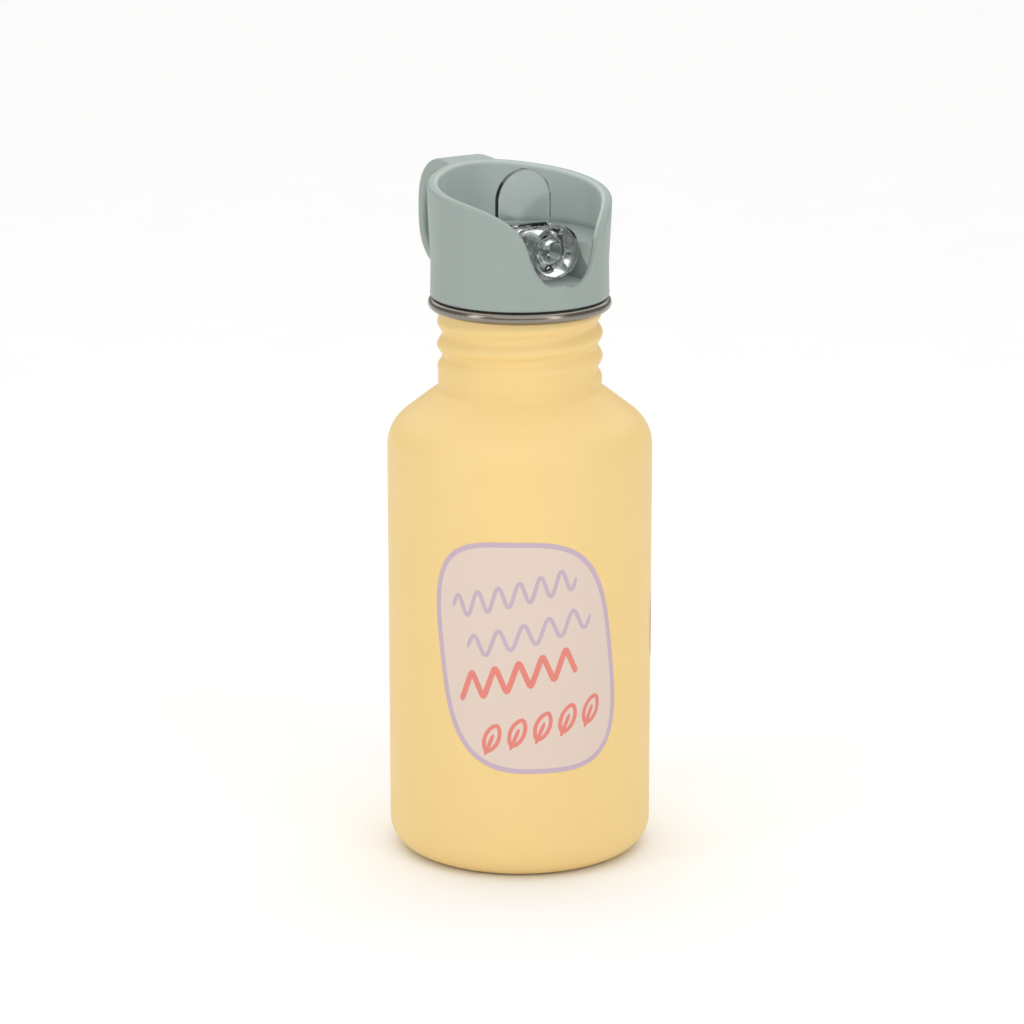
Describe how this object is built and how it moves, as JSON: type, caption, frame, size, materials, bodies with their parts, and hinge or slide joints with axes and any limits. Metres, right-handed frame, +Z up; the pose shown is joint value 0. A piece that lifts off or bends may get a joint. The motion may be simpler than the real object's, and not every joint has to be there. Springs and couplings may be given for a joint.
{
  "type": "kids water bottle",
  "caption": "Round steel bottle with rolled neck thread, screw-on lid with sloped shroud and carry loop, and a flip-up clear straw spout.",
  "frame": {"origin": "centre of the base, in the plane it rests on", "axes": "+Z up along the bottle's axis; the spout and notch face -Y and the carry loop is at +Y"},
  "size_m": [0.07, 0.075, 0.1839],
  "materials": {
    "powder_coat": "matte",
    "bare_steel": "satin",
    "lid_plastic": "satin",
    "plug_plastic": "satin",
    "silicone": "matte",
    "clear_plastic": "gloss"
  },
  "bodies": {
    "bottle": {"bottle_shell": "powder_coat", "base_cup": "powder_coat", "lip_ring": "bare_steel"},
    "gasket_carrier": {"lid_gasket": "silicone"},
    "lid": {"lid_shell": "lid_plastic", "threaded_plug": "plug_plastic", "seat_seal": "silicone", "vent_valve": "silicone", "straw_sleeve": "silicone", "straw": "clear_plastic"},
    "mouthpiece": {"mouthpiece": "clear_plastic"}
  },
  "joints": [
    {"name": "lid_lift", "type": "slide", "parent": "bottle", "child": "gasket_carrier", "axis": [0, 0, 1], "range_m": [0, 0.0122]},
    {"name": "lid_turn", "type": "hinge", "parent": "gasket_carrier", "child": "lid", "pos_m": [0, 0, 0.15], "axis": [0, 0, 1], "range_deg": [0, 720]},
    {"name": "spout_flip", "type": "hinge", "parent": "lid", "child": "mouthpiece", "pos_m": [0, 0, 0.1645], "axis": [-1, 0, 0], "range_deg": [0, 90]}
  ],
  "couplings": [
    {"joint": "lid_lift", "follows": "lid_turn", "m_per_rad": 0.00097085}
  ]
}
